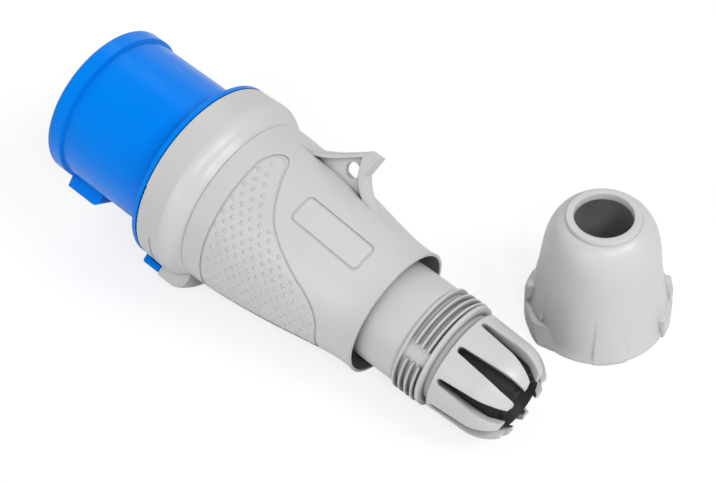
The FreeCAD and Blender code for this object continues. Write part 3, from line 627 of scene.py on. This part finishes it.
def make_nut(shape):
    """The whole nut: the outside row by row, then what a lathe turns, back to the foot."""
    rings = []
    for height, plain in nut_rows():
        radii = [nut_radius(height, plain, degrees) for degrees in COLUMN_DEGREES]
        rings.append(nut_ring(shape, height, radii))
    for height, radius in TURNED:
        rings.append(nut_ring(shape, height, [radius] * NUT_COLUMNS))
    for low, high in zip(rings, rings[1:] + rings[:1]):
        for k in range(NUT_COLUMNS):
            n = (k + 1) % NUT_COLUMNS
            shape.faces.new((low[k], low[n], high[n], high[k]))


nut = add_piece("gland_nut_dressed", make_nut, grey_polyamide, "handle_body")
nut.data.set_sharp_from_angle(angle=SHARP_FROM)
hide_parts("gland_nut")

# %% [markdown]
# ## Thread inside the nut
#
# A coarse thread runs round inside the bore, to match the ridges on the neck. It is a strip that
# climbs as it goes round, thin where it starts and ends, so that it grows out of the wall.

# %% Thread ridge in the nut
NUT_RIDGE = 0.8        # how far the ridge stands out of the wall
NUT_PITCH = 1.95       # climb in one turn
NUT_TURNS = 4.5
NUT_STEPS = 72         # points in one turn
RIDGE_START = 1.6      # height
RIDGE_FADE = 12        # points over which it grows and shrinks
RIDGE_SUNK = 0.12      # how deep its root lies in the wall
RIDGE_ROOT = 0.75      # half its height at the wall
RIDGE_CREST = 0.2      # half its height at the crest


def nut_thread(shape):
    """A strip with four corners that climbs round the bore."""
    rings = []
    count = int(NUT_TURNS * NUT_STEPS)
    for k in range(count + 1):
        a = 2 * math.pi * k / NUT_STEPS
        fade = min(1.0, k / RIDGE_FADE, (count - k) / RIDGE_FADE)
        z = RIDGE_START + NUT_PITCH * k / NUT_STEPS
        crest = NUT_BORE_R - NUT_RIDGE * fade
        root = NUT_BORE_R + RIDGE_SUNK
        section = (
            (root, z - RIDGE_ROOT), (crest, z - RIDGE_CREST),
            (crest, z + RIDGE_CREST), (root, z + RIDGE_ROOT),
        )
        rings.append([
            shape.verts.new(Vector((NUT_X + r * math.cos(a), NUT_Y + r * math.sin(a), h)) * MM)
            for r, h in section
        ])
    for here, there in zip(rings, rings[1:]):
        for i in range(4):
            j = (i + 1) % 4
            shape.faces.new((here[i], here[j], there[j], there[i]))
    shape.faces.new(list(reversed(rings[0])))
    shape.faces.new(rings[-1])


nut_ridge = add_piece("nut_thread_ridge", nut_thread, grey_polyamide, "handle_body")

# %% [markdown]
# ## Floor, light and camera
#
# Small products are photographed on a white table under a large soft light, so shadows are faint
# and the background is plain white. The floor is a white diffuse sheet. A little glow lifts it to
# white where the camera sees it straight, and lights nothing else.

# %% The floor
PAPER = "#F0F0F0"
SEEN_SHARE = 0.3   # share of its own colour that the camera sees
SEEN_GLOW = 0.78   # and the glow that lifts it to white
FLOOR_REACH = 4    # metres from the middle to each side


def white_sheet():
    """White paper that gives back plain light, and that the camera sees lifted to white."""
    material, tree = new_material("white_table")
    seen = add(tree, "LightPath").outputs["Is Camera Ray"]
    paper = add(tree, "Mix", {"Factor": seen}, data_type="RGBA")
    paper.inputs["A"].default_value = linear(PAPER)
    paper.inputs["B"].default_value = [SEEN_SHARE * c for c in linear(PAPER)[:3]] + [1.0]
    strength = add(tree, "Math", {0: seen, 1: SEEN_GLOW}, operation="MULTIPLY")
    sheet = add(tree, "BsdfDiffuse", {"Color": paper.outputs["Result"]})
    glow = add(tree, "Emission", {"Color": (1, 1, 1, 1), "Strength": strength.outputs[0]})
    both = add(tree, "AddShader")
    tree.links.new(sheet.outputs[0], both.inputs[0])
    tree.links.new(glow.outputs[0], both.inputs[1])
    finish_material(tree, both)
    return material


floor_mesh = bpy.data.meshes.new("floor")
floor_shape = bmesh.new()
bmesh.ops.create_grid(floor_shape, x_segments=1, y_segments=1, size=FLOOR_REACH)
floor_shape.to_mesh(floor_mesh)
floor_shape.free()
floor_mesh.materials.append(white_sheet())
floor = bpy.data.objects.new("floor", floor_mesh)
bpy.context.scene.collection.objects.link(floor)

# %% [markdown]
# The room is one even white, a good deal weaker than the background that the camera sees. The key
# lamp stands to the right, so that the left side of the nut falls in shade. A small lamp nearer
# the camera puts the bright spot on the nut's dome, and two large weak ones, in front and behind,
# keep the shadows open.

# %% World and lamps
ROOM_LEVEL = 0.42    # strength of the light that the room gives
LAMP_DISTANCE = 1.1  # metres
world = bpy.data.worlds.new("white_room")
world.use_nodes = True
world.node_tree.nodes.clear()
room = world.node_tree
seen = add(room, "LightPath")
straight = add(room, "Math", {0: seen.outputs["Is Camera Ray"], 1: seen.outputs["Is Glossy Ray"]},
               operation="MAXIMUM")
level = add(room, "Mix", {"Factor": straight.outputs[0]}, data_type="FLOAT")
level.inputs["A"].default_value = ROOM_LEVEL
level.inputs["B"].default_value = 1.0
sky = add(room, "Background", {"Color": (1, 1, 1, 1), "Strength": level.outputs["Result"]})
add(room, "OutputWorld", {"Surface": sky.outputs[0]})
bpy.context.scene.world = world


def soft_lamp(name, azimuth, elevation, size, watts):
    """A square lamp that faces the object from an azimuth, counted from straight in front."""
    data = bpy.data.lights.new(name, "AREA")
    data.size = size
    data.energy = watts
    lamp = bpy.data.objects.new(name, data)
    a, e = math.radians(azimuth), math.radians(elevation)
    outward = Vector((math.sin(a) * math.cos(e), -math.cos(a) * math.cos(e), math.sin(e)))
    lamp.location = outward * LAMP_DISTANCE
    lamp.rotation_euler = (-lamp.location).to_track_quat("-Z", "Y").to_euler()
    bpy.context.scene.collection.objects.link(lamp)


soft_lamp("key_lamp", azimuth=104, elevation=45, size=0.35, watts=4.4)
soft_lamp("spot_lamp", azimuth=60, elevation=46, size=0.2, watts=2.2)
soft_lamp("front_lamp", azimuth=10, elevation=25, size=0.6, watts=2.4)
soft_lamp("back_lamp", azimuth=240, elevation=45, size=0.6, watts=1.6)
print("lamps:", len(bpy.data.lights))

# %% [markdown]
# The camera stands where the photographer's did: in front of the plug and past its cable end,
# looking down at 47 degrees. It was held a little crooked, so it is rolled by the same angle here.

# %% The camera
PICTURE_W = 716
FOCAL_PIXELS = 1700
SENSOR = 36.0       # mm
NEAREST = 0.01      # metres; what is nearer isn't drawn
CAMERA_FROM_MOUTH = Vector((299.1, -211.0, 359.3))  # mm, on the floor below the mouth
AIM_FROM_MOUTH = Vector((69.36, 25.46, 0.0))
CAMERA_ROLL = math.radians(-4.70)

below_mouth = Vector((MOUTH.x, MOUTH.y, 0))
camera_data = bpy.data.cameras.new("camera")
camera_data.sensor_width = SENSOR
camera_data.lens = SENSOR * FOCAL_PIXELS / PICTURE_W
camera_data.clip_start = NEAREST
camera = bpy.data.objects.new("camera", camera_data)
camera.location = (below_mouth + CAMERA_FROM_MOUTH) * MM
towards = AIM_FROM_MOUTH - CAMERA_FROM_MOUTH
facing = towards.to_track_quat("-Z", "Y").to_matrix() @ Matrix.Rotation(CAMERA_ROLL, 3, "Z")
camera.rotation_euler = facing.to_euler()
bpy.context.scene.collection.objects.link(camera)
bpy.context.scene.camera = camera
bpy.context.scene.view_settings.view_transform = "Standard"
print("lens:", round(camera_data.lens, 2))
